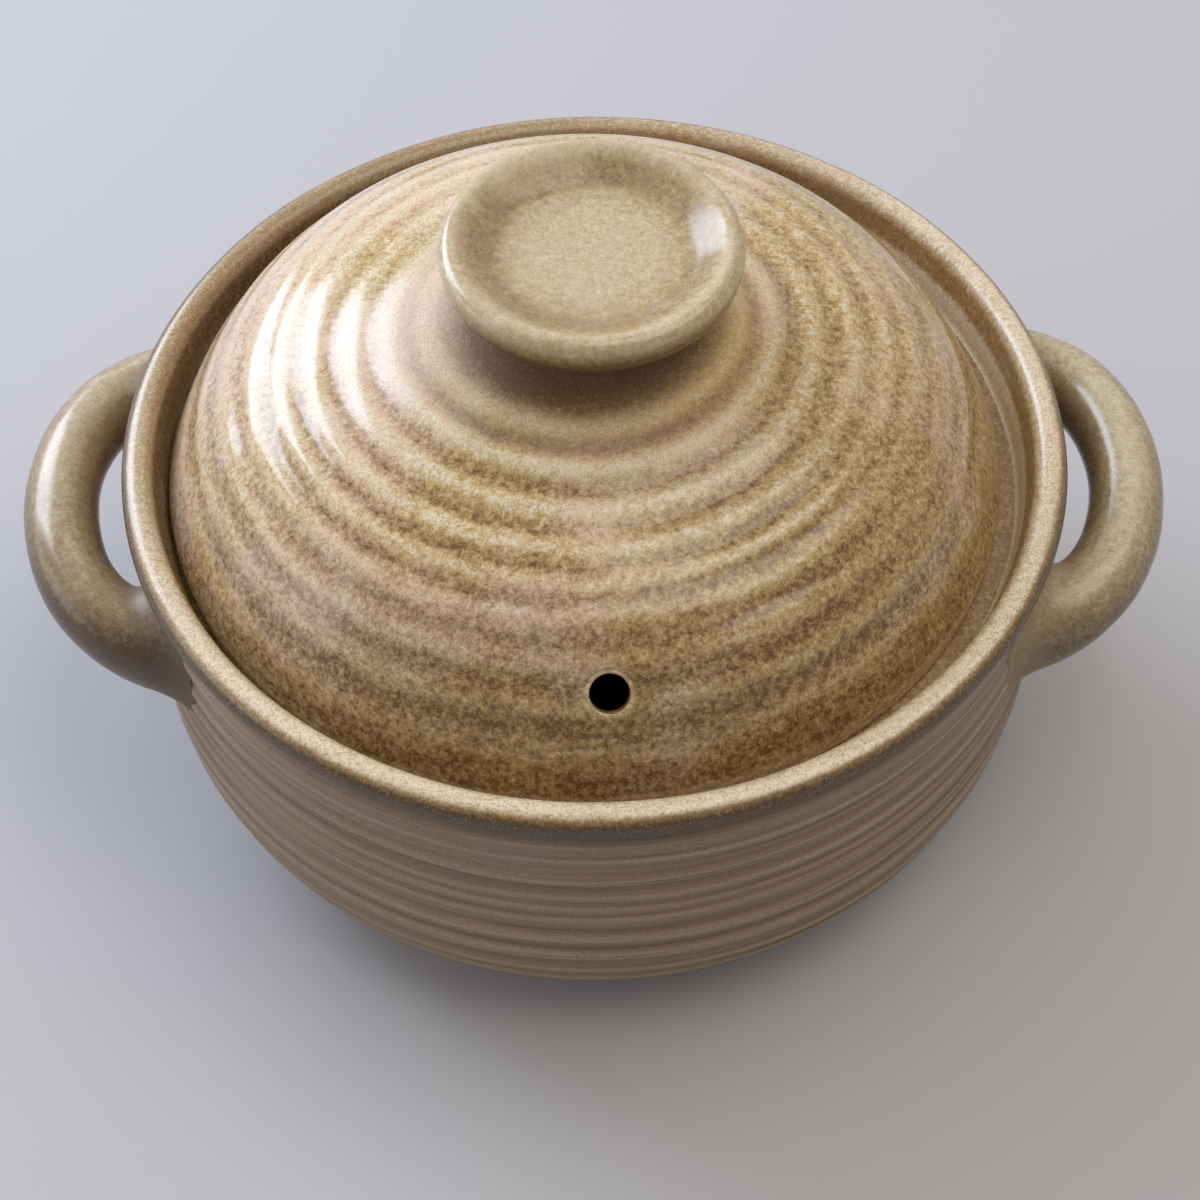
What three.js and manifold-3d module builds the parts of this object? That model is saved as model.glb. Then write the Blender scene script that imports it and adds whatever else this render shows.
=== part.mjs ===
// Stoneware casserole: a thrown pot with two loop handles, and a domed lid with a dished knob.
// Millimetres, +Z up. The origin is the middle of the foot, on the surface that the pot stands on.
// The handles lie along X, and the steam vent in the lid faces -Y.
import * as THREE from 'three';
import { mergeVertices } from 'three/addons/utils/BufferGeometryUtils.js';
import Module from 'manifold-3d';

const wasm = await Module();
wasm.setup();
const SAME_POINT = 1e-4; // points closer than this are one point

// Pot
const POT_HEIGHT = 108; // foot to top of the rim
const RIM_DIAMETER = 246; // over the rolled rim
const RIM_ROLL = 9.6; // thickness of the roll
const NECK_SETBACK = 3.4; // the wall under the roll lies this far inside the rim
const BELLY_DIAMETER = 243; // widest part of the wall
const BELLY_HEIGHT = 50;
const BODY_FULLNESS = 0.7; // 0.55 gives an elliptical lower wall, 1 a square one
const WALL = 8;
const FLOOR = 9;
const INNER_FLOOR_DIAMETER = 124; // flat part of the cooking floor
const FOOT_DIAMETER = 152;
const FOOT_HEIGHT = 5;
const FOOT_WIDTH = 10;
const FOOT_RECESS = 3; // the base inside the foot ring is cut this deep
const POT_SOFTENING = 1; // corners of the foot and of the gallery

// Gallery, the ledge inside the rim that carries the lid
const GALLERY_DEPTH = 16.5; // below the top of the rim
const GALLERY_DRAFT = 1.4; // the gallery wall leans in by this much
const LEDGE_WIDTH = 8;
const LIP_HEIGHT = 7; // thickness of the ledge at the mouth

// Lid
const LID_PLAY = 3.2; // gap all round between the lid and the gallery wall
const LID_SLID = 0.75; // share of that gap by which the lid lies to the left
const LID_WALL = 6.5;
const LID_EDGE = 6; // upright edge above the seat
const SHOULDER_RADIUS = 64; // here the dome is flattest
const SHOULDER_RISE = 48.4; // above the seat
const SHOULDER_SLOPE = 0.22;
const EDGE_LEAN = 0.44; // radius lost per millimetre of climb, just above the edge
const CROWN_RADIUS = 27; // flat pad that the knob stands on
const CROWN_RISE = 65.7; // above the seat
const CROWN_SLOPE = 1.15;
const LID_SOFTENING = 1.3; // corner under the lid's edge
// How far each end of the dome's two curves keeps its direction, as a share of that curve's rise or run.
const EDGE_PULL = 0.58;
const SHOULDER_PULL_OUT = 0.55;
const SHOULDER_PULL_IN = 0.46;
const CROWN_PULL = 0.22;
const VENT_DIAMETER = 9.5;
const VENT_DISTANCE = 95.5; // from the lid's axis
const VENT_TURN = THREE.MathUtils.degToRad(3.4); // to the right of the front

// Knob
const KNOB_DIAMETER = 73.4;
const KNOB_HEIGHT = 16.8; // crown to the top of its lip
const KNOB_LIP = 6.4; // thickness of its round lip
const KNOB_UNDERSIDE_RADIUS = 11; // the underside bends in from the lip to the waist
const KNOB_UNDERSIDE_TURN = 0.44 * Math.PI; // how far it bends
const KNOB_LIP_TURN = 0.64 * Math.PI; // the lip rolls over this far, into the dish
const KNOB_FOOT_DIAMETER = 52;
const KNOB_WAIST_DIAMETER = 48;
const KNOB_WAIST_PULL = 0.8; // how far the waist keeps upright at each end
const DISH_DEPTH = 4.5;
const DISH_FLOOR_DIAMETER = 42;
const DISH_EASE = 0.35; // share of the dish's side that bends at each end

// Handles
const HANDLE_REACH = 28; // beyond the rim, or beyond the belly if that is wider
const HANDLE_THICKNESS = 19.5;
const HANDLE_SPREAD = 86; // between the middles of the two roots
const HANDLE_BULGE = 16; // the loop's shoulders stand out past the roots by up to this pull
const LOOP_DROP = 21; // middle of the loop below the top of the rim
const ROOT_DROP = 32; // middle of a root below the top of the rim
const ROOT_HEIGHT = 31;
const ROOT_WIDTH = 30;
const ROOT_FLARE_FROM = 0.45; // the flare starts at this share of the way from the loop's middle to its end
const ROOT_FLARE_TO = 0.9;
const ROOT_INSET = 24; // a root starts this far inside the widest part, before it is cut to the wall
const LUTING_GAP = 0.3; // slip joint between a root and the wall
const LEFT_HANDLE_TURN = THREE.MathUtils.degToRad(2.2); // it sits a little towards the front

// Throwing rings left by the fingers
const LID_RING_PITCH = 9.8;
const LID_RING_DEPTH = 0.8;
const WALL_RING_PITCH = 9.5;
const WALL_RING_DEPTH = 0.5;
const POINTS_PER_RING = 4;
const RING_FADE = 2; // rings over which they fade out at each end

// Glaze
const WALL_COLOUR = 0x9d8d76;
const HANDLE_COLOUR = 0xa8946f;
const LID_COLOUR = 0xa58a5f;
const KNOB_COLOUR = 0xb39d78;
const GLAZE_ROUGHNESS = 0.4;

// Smoothness
const ROUND = 40; // facets round the pot and lid
const KNOB_ROUND = 32;
const VENT_SIDES = 20;
const HANDLE_SIDES = 14;
const HANDLE_STEPS = 22;
const RIM_STEPS = 9;
const LIP_STEPS = 5;
const BOWL_STEPS = 7;
const UNDERSIDE_STEPS = 13;
const ENVELOPE_STEPS = 40;
const KNOB_UNDERSIDE_STEPS = 6;
const KNOB_LIP_STEPS = 6;
const KNOB_CURVE_STEPS = 5;

// Sizes worked out from the ones above
const rimRadius = RIM_DIAMETER / 2;
const rollRadius = RIM_ROLL / 2;
const rollMiddle = new THREE.Vector2(rimRadius - rollRadius, POT_HEIGHT - rollRadius);
const neckRadius = rimRadius - NECK_SETBACK;
const rollStart = -Math.acos((neckRadius - rollMiddle.x) / rollRadius);
const bellyRadius = BELLY_DIAMETER / 2;
const footRadius = FOOT_DIAMETER / 2;
const widestRadius = Math.max(rimRadius, bellyRadius);
const floorTop = FOOT_RECESS + FLOOR;
const seatHeight = POT_HEIGHT - GALLERY_DEPTH;
const galleryRadius = rimRadius - RIM_ROLL - GALLERY_DRAFT;
const mouthRadius = galleryRadius - LEDGE_WIDTH;
const lidRadius = galleryRadius - LID_PLAY;
const lidShift = -LID_SLID * LID_PLAY;

function point(radius, height) {
  return new THREE.Vector2(radius, height);
}

function bezier(start, leave, arrive, end) {
  return new THREE.CubicBezierCurve(start, leave, arrive, end);
}

// A solid of revolution about Z, from a profile of radius and height.
function revolve(profile, facets) {
  const geometry = new THREE.LatheGeometry(profile, facets);
  geometry.rotateX(Math.PI / 2);
  return geometry;
}

function toSolid(geometry) {
  const bare = geometry.clone();
  bare.deleteAttribute('normal');
  bare.deleteAttribute('uv');
  const merged = mergeVertices(bare, SAME_POINT);
  return new wasm.Manifold(new wasm.Mesh({
    numProp: 3,
    vertProperties: Float32Array.from(merged.attributes.position.array),
    triVerts: Uint32Array.from(merged.index.array),
  }));
}

function toGeometry(solid) {
  const mesh = solid.getMesh();
  const geometry = new THREE.BufferGeometry();
  geometry.setAttribute('position', new THREE.BufferAttribute(mesh.vertProperties, mesh.numProp));
  geometry.setIndex(new THREE.BufferAttribute(mesh.triVerts, 1));
  geometry.computeVertexNormals();
  return geometry;
}

// Evenly spaced points on a curve, each with the unit normal on the curve's right-hand side.
function walk(curve, steps) {
  const stations = [];
  for (let i = 0; i <= steps; i += 1) {
    const at = i / steps;
    const along = curve.getTangentAt(at);
    stations.push({
      at,
      place: curve.getPointAt(at),
      out: point(along.y, -along.x),
    });
  }
  return stations;
}

// The curve again, with throwing rings that fade out towards both ends.
function ringed(curve, pitch, depth) {
  const rings = Math.round(curve.getLength() / pitch);
  return walk(curve, rings * POINTS_PER_RING).map(({ at, place, out }) => {
    const fade = Math.min(1, (rings * at) / RING_FADE, (rings * (1 - at)) / RING_FADE);
    const swell = (depth / 2) * fade * Math.cos(2 * Math.PI * rings * at);
    return place.clone().addScaledVector(out, swell);
  });
}

// The outer wall from the foot to the neck, without rings.
function wallCurve(offset) {
  const foot = point(footRadius + offset, FOOT_HEIGHT);
  const belly = point(bellyRadius + offset, BELLY_HEIGHT);
  const neck = rimArc(offset)[0];
  const third = (neck.y - belly.y) / 3;
  const path = new THREE.CurvePath();
  path.add(bezier(
    foot,
    point(foot.x + BODY_FULLNESS * (belly.x - foot.x), foot.y),
    point(belly.x, belly.y - BODY_FULLNESS * (belly.y - foot.y)),
    belly,
  ));
  path.add(bezier(
    belly,
    point(belly.x, belly.y + third),
    point(neck.x, neck.y - third),
    neck,
  ));
  return path;
}

// The rolled rim, from the outside of the neck over the top to the gallery.
function rimArc(grow) {
  const radius = rollRadius + grow;
  const arc = new THREE.EllipseCurve(rollMiddle.x, rollMiddle.y, radius, radius, rollStart, Math.PI);
  return arc.getPoints(RIM_STEPS);
}

function makePotBody() {
  const innerBelly = point(bellyRadius - WALL, BELLY_HEIGHT);
  const innerFloor = point(INNER_FLOOR_DIAMETER / 2, floorTop);
  const lipBottom = point(mouthRadius, seatHeight - LIP_HEIGHT);
  const underLip = bezier(
    lipBottom,
    point(lipBottom.x, lipBottom.y - LIP_HEIGHT),
    point(innerBelly.x, innerBelly.y + 2 * LIP_HEIGHT),
    innerBelly,
  );
  const innerBowl = bezier(
    innerBelly,
    point(innerBelly.x, innerBelly.y - BODY_FULLNESS * (innerBelly.y - innerFloor.y)),
    point(innerFloor.x + BODY_FULLNESS * (innerBelly.x - innerFloor.x), innerFloor.y),
    innerFloor,
  );
  const footInner = footRadius - FOOT_WIDTH;
  const profile = [
    point(0, FOOT_RECESS),
    point(footInner - POT_SOFTENING, FOOT_RECESS),
    point(footInner + POT_SOFTENING, 0),
    point(footRadius - POT_SOFTENING, 0),
    point(footRadius, POT_SOFTENING),
    ...ringed(wallCurve(0), WALL_RING_PITCH, WALL_RING_DEPTH),
    ...rimArc(0).slice(1),
    point(galleryRadius, seatHeight + POT_SOFTENING),
    point(galleryRadius - POT_SOFTENING, seatHeight),
    point(mouthRadius + POT_SOFTENING, seatHeight),
    point(mouthRadius, seatHeight - POT_SOFTENING),
    ...underLip.getPoints(LIP_STEPS),
    ...innerBowl.getPoints(BOWL_STEPS).slice(1),
    point(0, floorTop),
  ];
  return revolve(profile, ROUND);
}

// Everything inside the pot's outer surface, with the luting gap added. It trims the roots.
function makePotEnvelope() {
  const clear = LUTING_GAP + WALL_RING_DEPTH / 2;
  const profile = [
    point(0, FOOT_HEIGHT),
    ...walk(wallCurve(clear), ENVELOPE_STEPS).map(({ place }) => place),
    ...rimArc(clear).slice(1),
    point(0, rollMiddle.y),
  ];
  return revolve(profile, ROUND);
}

// The dome from its edge to the crown, without rings.
function domeCurve() {
  const edge = point(lidRadius, seatHeight + LID_EDGE);
  const shoulder = point(SHOULDER_RADIUS, seatHeight + SHOULDER_RISE);
  const crown = point(CROWN_RADIUS, seatHeight + CROWN_RISE);
  const climb = EDGE_PULL * (shoulder.y - edge.y);
  const run = SHOULDER_PULL_OUT * (edge.x - shoulder.x);
  const inner = SHOULDER_PULL_IN * (shoulder.x - crown.x);
  const neck = CROWN_PULL * (shoulder.x - crown.x);
  const path = new THREE.CurvePath();
  path.add(bezier(
    edge,
    point(edge.x - EDGE_LEAN * climb, edge.y + climb),
    point(shoulder.x + run, shoulder.y - SHOULDER_SLOPE * run),
    shoulder,
  ));
  path.add(bezier(
    shoulder,
    point(shoulder.x - inner, shoulder.y + SHOULDER_SLOPE * inner),
    point(crown.x + neck, crown.y - CROWN_SLOPE * neck),
    crown,
  ));
  return path;
}

function makeLidShell() {
  const dome = domeCurve();
  const crownTop = seatHeight + CROWN_RISE;
  const underside = walk(dome, UNDERSIDE_STEPS)
    .map(({ place, out }) => place.addScaledVector(out, -LID_WALL))
    .reverse();
  const inner = underside[underside.length - 1];
  const profile = [
    point(0, crownTop - LID_WALL),
    ...underside.filter(({ y }) => y < crownTop - LID_WALL),
    point(inner.x, seatHeight),
    point(lidRadius - LID_SOFTENING, seatHeight),
    point(lidRadius, seatHeight + LID_SOFTENING),
    ...ringed(dome, LID_RING_PITCH, LID_RING_DEPTH),
    point(0, crownTop),
  ];
  const shell = toSolid(revolve(profile, ROUND));
  return toGeometry(shell.subtract(toSolid(makeVentDrill(dome))));
}

// A round drill square to the dome, at the vent's distance from the axis.
function makeVentDrill(dome) {
  let low = 0;
  let high = 1;
  while (high - low > SAME_POINT) {
    const middle = (low + high) / 2;
    if (dome.getPointAt(middle).x > VENT_DISTANCE) low = middle;
    else high = middle;
  }
  const place = dome.getPointAt(low);
  const along = dome.getTangentAt(low);
  const radius = VENT_DIAMETER / 2;
  const length = 4 * LID_WALL; // well through the wall on both sides
  const drill = new THREE.CylinderGeometry(radius, radius, length, VENT_SIDES);
  drill.rotateX(Math.PI / 2);
  drill.rotateX(Math.atan2(along.y, -along.x));
  drill.translate(0, -place.x, place.y);
  drill.rotateZ(VENT_TURN);
  return drill;
}

function makeKnob() {
  const bottom = seatHeight + CROWN_RISE;
  const top = bottom + KNOB_HEIGHT;
  const radius = KNOB_DIAMETER / 2;
  const lipRadius = KNOB_LIP / 2;
  const widest = top - lipRadius;
  const underside = new THREE.EllipseCurve(
    radius - KNOB_UNDERSIDE_RADIUS,
    widest,
    KNOB_UNDERSIDE_RADIUS,
    KNOB_UNDERSIDE_RADIUS,
    -KNOB_UNDERSIDE_TURN,
    0,
  ).getPoints(KNOB_UNDERSIDE_STEPS);
  const lip = new THREE.EllipseCurve(
    radius - lipRadius,
    widest,
    lipRadius,
    lipRadius,
    0,
    KNOB_LIP_TURN,
  ).getPoints(KNOB_LIP_STEPS);
  const waist = bezier(
    point(KNOB_FOOT_DIAMETER / 2, bottom),
    point(KNOB_WAIST_DIAMETER / 2, bottom + KNOB_WAIST_PULL),
    point(KNOB_WAIST_DIAMETER / 2, underside[0].y - KNOB_WAIST_PULL),
    underside[0],
  );
  const lipEnd = lip[lip.length - 1];
  const dishFloor = point(DISH_FLOOR_DIAMETER / 2, top - DISH_DEPTH);
  const dish = bezier(
    lipEnd,
    point(lipEnd.x - DISH_EASE * (lipEnd.x - dishFloor.x), lipEnd.y - DISH_EASE * DISH_DEPTH),
    point(dishFloor.x + DISH_EASE * (lipEnd.x - dishFloor.x), dishFloor.y),
    dishFloor,
  );
  const profile = [
    point(0, bottom),
    ...waist.getPoints(KNOB_CURVE_STEPS).slice(0, -1),
    ...underside,
    ...lip.slice(1),
    ...dish.getPoints(KNOB_CURVE_STEPS).slice(1),
    point(0, top - DISH_DEPTH),
  ];
  return revolve(profile, KNOB_ROUND);
}

// A closed skin over rings of points, with a flat fan at each end.
function loft(rings) {
  const sides = rings[0].length;
  const ends = [rings[0], rings[rings.length - 1]];
  const middles = ends.map((ring) => {
    const sum = ring.reduce((total, each) => total.add(each), new THREE.Vector3());
    return sum.divideScalar(sides);
  });
  const places = [...rings.flat(), ...middles];
  const index = [];
  for (let i = 0; i + 1 < rings.length; i += 1) {
    for (let j = 0; j < sides; j += 1) {
      const a = i * sides + j;
      const b = i * sides + ((j + 1) % sides);
      index.push(a, b, a + sides, b, b + sides, a + sides);
    }
  }
  const last = (rings.length - 1) * sides;
  const firstMiddle = rings.length * sides;
  for (let j = 0; j < sides; j += 1) {
    const next = (j + 1) % sides;
    index.push(firstMiddle, next, j);
    index.push(firstMiddle + 1, last + j, last + next);
  }
  const geometry = new THREE.BufferGeometry();
  geometry.setFromPoints(places);
  geometry.setIndex(index);
  return geometry;
}

// A loop: a roll of clay bent into a bow, thicker and taller where it meets the wall.
// It is bent on the right-hand side, turned to its place about the pot's axis, and cut to the wall there.
function makeHandle(turnAboutPot) {
  const rootX = widestRadius - ROOT_INSET;
  const loopX = widestRadius + HANDLE_REACH - HANDLE_THICKNESS / 2;
  const rootZ = POT_HEIGHT - ROOT_DROP;
  const loopZ = POT_HEIGHT - LOOP_DROP;
  const middleShare = 0.75; // a cubic's middle lies this share of the way to its two pulls
  const pullX = rootX + (loopX - rootX) / middleShare;
  const pullZ = rootZ + (loopZ - rootZ) / middleShare;
  const half = HANDLE_SPREAD / 2;
  const bow = new THREE.CubicBezierCurve3(
    new THREE.Vector3(rootX, -half, rootZ),
    new THREE.Vector3(pullX, -half - HANDLE_BULGE, pullZ),
    new THREE.Vector3(pullX, half + HANDLE_BULGE, pullZ),
    new THREE.Vector3(rootX, half, rootZ),
  );
  const up = new THREE.Vector3(0, 0, 1);
  const rings = [];
  for (let i = 0; i <= HANDLE_STEPS; i += 1) {
    const at = i / HANDLE_STEPS;
    const flare = THREE.MathUtils.smoothstep(Math.abs(2 * at - 1), ROOT_FLARE_FROM, ROOT_FLARE_TO);
    const halfWidth = THREE.MathUtils.lerp(HANDLE_THICKNESS, ROOT_WIDTH, flare) / 2;
    const halfHeight = THREE.MathUtils.lerp(HANDLE_THICKNESS, ROOT_HEIGHT, flare) / 2;
    const middle = bow.getPointAt(at);
    const along = bow.getTangentAt(at);
    const side = new THREE.Vector3().crossVectors(up, along).normalize();
    const rise = new THREE.Vector3().crossVectors(along, side);
    const ring = [];
    for (let j = 0; j < HANDLE_SIDES; j += 1) {
      const turn = (2 * Math.PI * j) / HANDLE_SIDES;
      const spot = middle.clone();
      spot.addScaledVector(side, halfWidth * Math.cos(turn));
      spot.addScaledVector(rise, halfHeight * Math.sin(turn));
      ring.push(spot);
    }
    rings.push(ring);
  }
  const roll = loft(rings).rotateZ(turnAboutPot);
  return toGeometry(toSolid(roll).subtract(toSolid(makePotEnvelope())));
}

function glaze(colour) {
  return new THREE.MeshStandardMaterial({ color: colour, roughness: GLAZE_ROUGHNESS, metalness: 0 });
}

function piece(name, geometry, material) {
  const mesh = new THREE.Mesh(geometry, material);
  mesh.name = name;
  return mesh;
}

const pot = new THREE.Group();
pot.add(piece('pot_body', makePotBody(), glaze(WALL_COLOUR)));
pot.add(piece('right_handle', makeHandle(0), glaze(HANDLE_COLOUR)));
pot.add(piece('left_handle', makeHandle(Math.PI + LEFT_HANDLE_TURN), glaze(HANDLE_COLOUR)));

// The lid lies loose in the gallery. The knob was set by hand, over the middle of the pot.
const lid = new THREE.Group();
lid.position.x = lidShift;
lid.add(piece('lid_shell', makeLidShell(), glaze(LID_COLOUR)));
const knob = piece('lid_knob', makeKnob(), glaze(KNOB_COLOUR));
knob.position.x = -lidShift;
lid.add(knob);

const casserole = new THREE.Group();
casserole.add(pot, lid);

export default casserole;
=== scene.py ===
# %% [markdown]
# # A stoneware casserole
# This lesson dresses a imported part: a pot thrown on a wheel, with a rolled rim, two loop handles, and a
# domed lid with a dished knob. The loaded solids already have their true sizes and places. They could be
# kept as they are, but their facets are coarse, so each one is made again here with a finer mesh in the
# same place, and the solid stays behind for the motion.

# %% Load the frame
import math

import bmesh
import bpy
import numpy as np
from mathutils import Matrix, Vector, noise
from mathutils.geometry import interpolate_bezier


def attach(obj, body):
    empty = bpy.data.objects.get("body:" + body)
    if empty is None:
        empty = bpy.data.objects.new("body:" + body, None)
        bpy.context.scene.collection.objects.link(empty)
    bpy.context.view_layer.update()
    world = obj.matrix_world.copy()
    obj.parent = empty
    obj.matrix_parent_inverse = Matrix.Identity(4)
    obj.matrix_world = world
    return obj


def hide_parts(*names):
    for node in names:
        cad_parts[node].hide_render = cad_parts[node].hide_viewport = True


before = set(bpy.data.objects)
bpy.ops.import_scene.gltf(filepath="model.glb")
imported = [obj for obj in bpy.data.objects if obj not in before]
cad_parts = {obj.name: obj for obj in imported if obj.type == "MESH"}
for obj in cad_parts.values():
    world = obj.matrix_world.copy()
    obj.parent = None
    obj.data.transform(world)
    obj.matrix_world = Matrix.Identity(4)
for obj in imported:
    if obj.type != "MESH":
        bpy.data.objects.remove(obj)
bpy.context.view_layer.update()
print("solids:", ", ".join(sorted(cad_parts)))

# %% [markdown]
# ## Camera
# The pot is seen from the front and from well above, so that the lid fills the picture. The place, the
# tilt and the lens were found by fitting the outlines of the rim and the knob. A camera could be aimed
# with a constraint, but a matrix of three plain steps says exactly where it stands.

# %% Camera
CAMERA_PLACE = (0.00121, -0.39773, 0.55198)
LOOK_DOWN = math.radians(52.549)
CAMERA_ROLL = math.radians(-0.6)
SENSOR_MM = 36
LENS_MM = 68.66

camera = bpy.data.objects.new("camera", bpy.data.cameras.new("camera"))
camera.data.sensor_width = SENSOR_MM
camera.data.lens = LENS_MM
tilt = Matrix.Rotation(math.pi / 2 - LOOK_DOWN, 4, "X")
roll = Matrix.Rotation(CAMERA_ROLL, 4, "Z")
camera.matrix_world = Matrix.Translation(CAMERA_PLACE) @ tilt @ roll
bpy.context.collection.objects.link(camera)
bpy.context.scene.camera = camera
print("camera looks down by", round(math.degrees(LOOK_DOWN), 1), "degrees")

# %% [markdown]
# ## Floor and light
# A pale painted floor takes the shadow. Far from the pot, past the reach of the lamps, it turns paler, so
# that it stays even to the horizon when the pot is looked at from lower down. A cool window stands behind
# the pot on the left: it makes the white streaks on the left of the lid, the glint in the knob and the
# line of light inside the right handle. A wide pale wall on the left and a weak, warm lamp overhead fill
# the shadows. Lamps could give all of the light, but a sky that is brighter at the back than at the front
# stands in for the rest of the room. Together they reach a plain level, at which a colour comes out about
# as it is written.

# %% Helpers for colour and nodes
# A Mix node also has hidden sockets for numbers and vectors, so those for colours are found by their place.
SHARE, UNDER, OVER, MIXED = 0, 6, 7, 2


def linear(hex_colour):
    """A colour written as sRGB hex, in the linear values that Blender's sockets hold."""
    parts = [int(hex_colour[i:i + 2], 16) / 255 for i in (1, 3, 5)]
    return [p / 12.92 if p <= 0.04045 else ((p + 0.055) / 1.055) ** 2.4 for p in parts] + [1]


def add(tree, kind, sockets=None, **settings):
    """Adds a node. The settings are its own choices, and sockets fills its inputs or links them."""
    made = tree.nodes.new("ShaderNode" + kind)
    for name, value in settings.items():
        setattr(made, name, value)
    for socket, value in (sockets or {}).items():
        if isinstance(value, bpy.types.NodeSocket):
            tree.links.new(value, made.inputs[socket])
        else:
            made.inputs[socket].default_value = value
    return made


def new_material(name):
    """An empty material with its output node."""
    material = bpy.data.materials.new(name)
    material.use_nodes = True
    material.node_tree.nodes.clear()
    return material, material.node_tree, add(material.node_tree, "OutputMaterial")


# %% Floor paint
WEAR_PER_METRE = 9
PALE_FROM, PALE_TO = 2.5, 7

material, tree, output = new_material("painted_floor")
place = add(tree, "TexCoord").outputs["Object"]
wear = add(tree, "TexNoise", {"Vector": place, "Scale": WEAR_PER_METRE, "Detail": 3}).outputs["Fac"]
rough = add(tree, "MapRange", {"Value": wear, "To Min": 0.62, "To Max": 0.75}).outputs["Result"]
distance = add(tree, "VectorMath", {0: place}, operation="LENGTH").outputs["Value"]
far = add(tree, "MapRange", {"Value": distance, "From Min": PALE_FROM, "From Max": PALE_TO})
colour = add(tree, "Mix", {SHARE: far.outputs["Result"], UNDER: linear("#c6c5c9"),
                           OVER: linear("#f4f4f4")}, data_type="RGBA").outputs[MIXED]
paint = add(tree, "BsdfPrincipled", {"Base Color": colour, "Roughness": rough, "Specular IOR Level": 0.2})
tree.links.new(paint.outputs[0], output.inputs["Surface"])
print("made", material.name)

# %% Floor
FLOOR_SIZE = 40

bm = bmesh.new()
bmesh.ops.create_grid(bm, x_segments=1, y_segments=1, size=FLOOR_SIZE / 2)
floor_mesh = bpy.data.meshes.new("floor")
bm.to_mesh(floor_mesh)
bm.free()
floor_mesh.materials.append(material)
floor = bpy.data.objects.new("floor", floor_mesh)
bpy.context.collection.objects.link(floor)
print("floor is", FLOOR_SIZE, "m wide")

# %% Sky
SKY_FRONT = 0.34
SKY_BACK = 0.95
SKY_COLOUR = "#f1f0f0"
BRIGHT_SIDE = (-0.5, 0.85, 0)
FULLY_BRIGHT = 0.9

world = bpy.data.worlds.new("studio")
bpy.context.scene.world = world
world.use_nodes = True
sky_tree = world.node_tree
direction = add(sky_tree, "TexCoord").outputs["Generated"]
toward = add(sky_tree, "VectorMath", {0: direction, 1: BRIGHT_SIDE}, operation="DOT_PRODUCT")
strength = add(sky_tree, "MapRange", {"Value": toward.outputs["Value"], "From Min": 0,
                                      "From Max": FULLY_BRIGHT, "To Min": SKY_FRONT, "To Max": SKY_BACK})
sky = sky_tree.nodes["Background"]
sky.inputs["Color"].default_value = linear(SKY_COLOUR)
sky_tree.links.new(strength.outputs["Result"], sky.inputs["Strength"])
print("sky runs from", SKY_FRONT, "in front to", SKY_BACK, "behind")

# %% Lamps
POT_MIDDLE = Vector((0, 0, 0.1))


def lamp(name, place, width, height, power, colour):
    """A flat lamp that faces the middle of the pot."""
    data = bpy.data.lights.new(name, "AREA")
    data.shape = "RECTANGLE"
    data.size, data.size_y = width, height
    data.energy = power
    data.color = linear(colour)[:3]
    made = bpy.data.objects.new(name, data)
    aim = POT_MIDDLE - Vector(place)
    made.matrix_world = Matrix.Translation(place) @ aim.to_track_quat("-Z", "Y").to_matrix().to_4x4()
    bpy.context.collection.objects.link(made)
    print(name, "at", place, "with", power, "W")


lamp("window", (-1.07, 0.95, 0.88), 0.95, 0.95, 20.5, "#d9e8ff")
lamp("pale_wall", (-1.5, 0.0, 0.45), 1.5, 0.6, 3, "#fdf9f6")
lamp("overhead", (0.55, -0.05, 1.55), 1.2, 1.2, 9.5, "#fff6e8")
bpy.context.scene.view_settings.view_transform = "Standard"

# %% [markdown]
# ## Shapes from the wheel
# A thrown piece is an outline turned about an axis, so Spin makes it in one step. The outlines are
# written in millimetres as pairs of radius and height. Curves come from Blender's own Bezier function,
# and round edges from arcs.

# %% Helpers for turned pieces
MM = 0.001
TURN_STEPS = 240
SAME_SPOT = 1e-6


def bend(start, leave, arrive, end, gap=1.1):
    """Points about gap millimetres apart on a Bezier curve."""
    knots = [Vector(p) for p in (start, leave, arrive, end)]
    coarse = interpolate_bezier(*knots, 12)
    length = sum((b - a).length for a, b in zip(coarse, coarse[1:]))
    return [tuple(p) for p in interpolate_bezier(*knots, max(4, round(length / gap)))]


def arc(centre, radius, start, end, gap=0.6):
    """Points on a round edge, from one angle in degrees to another."""
    count = max(3, round(abs(math.radians(end - start)) * radius / gap))
    turns = [math.radians(start + (end - start) * i / count) for i in range(count + 1)]
    return [(centre[0] + radius * math.cos(t), centre[1] + radius * math.sin(t)) for t in turns]


def turned(outline):
    """Spins an outline about the Z axis into a closed skin that faces outwards."""
    bm = bmesh.new()
    verts = [bm.verts.new((radius * MM, 0, height * MM)) for radius, height in outline]
    edges = [bm.edges.new(pair) for pair in zip(verts, verts[1:])]
    bmesh.ops.spin(bm, geom=verts + edges, cent=(0, 0, 0), axis=(0, 0, 1), dvec=(0, 0, 0),
                   angle=math.tau, steps=TURN_STEPS, use_merge=True,
                   use_normal_flip=False, use_duplicate=False)
    bmesh.ops.remove_doubles(bm, verts=bm.verts, dist=SAME_SPOT)
    bmesh.ops.recalc_face_normals(bm, faces=bm.faces)
    bm.normal_update()
    return bm
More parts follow.
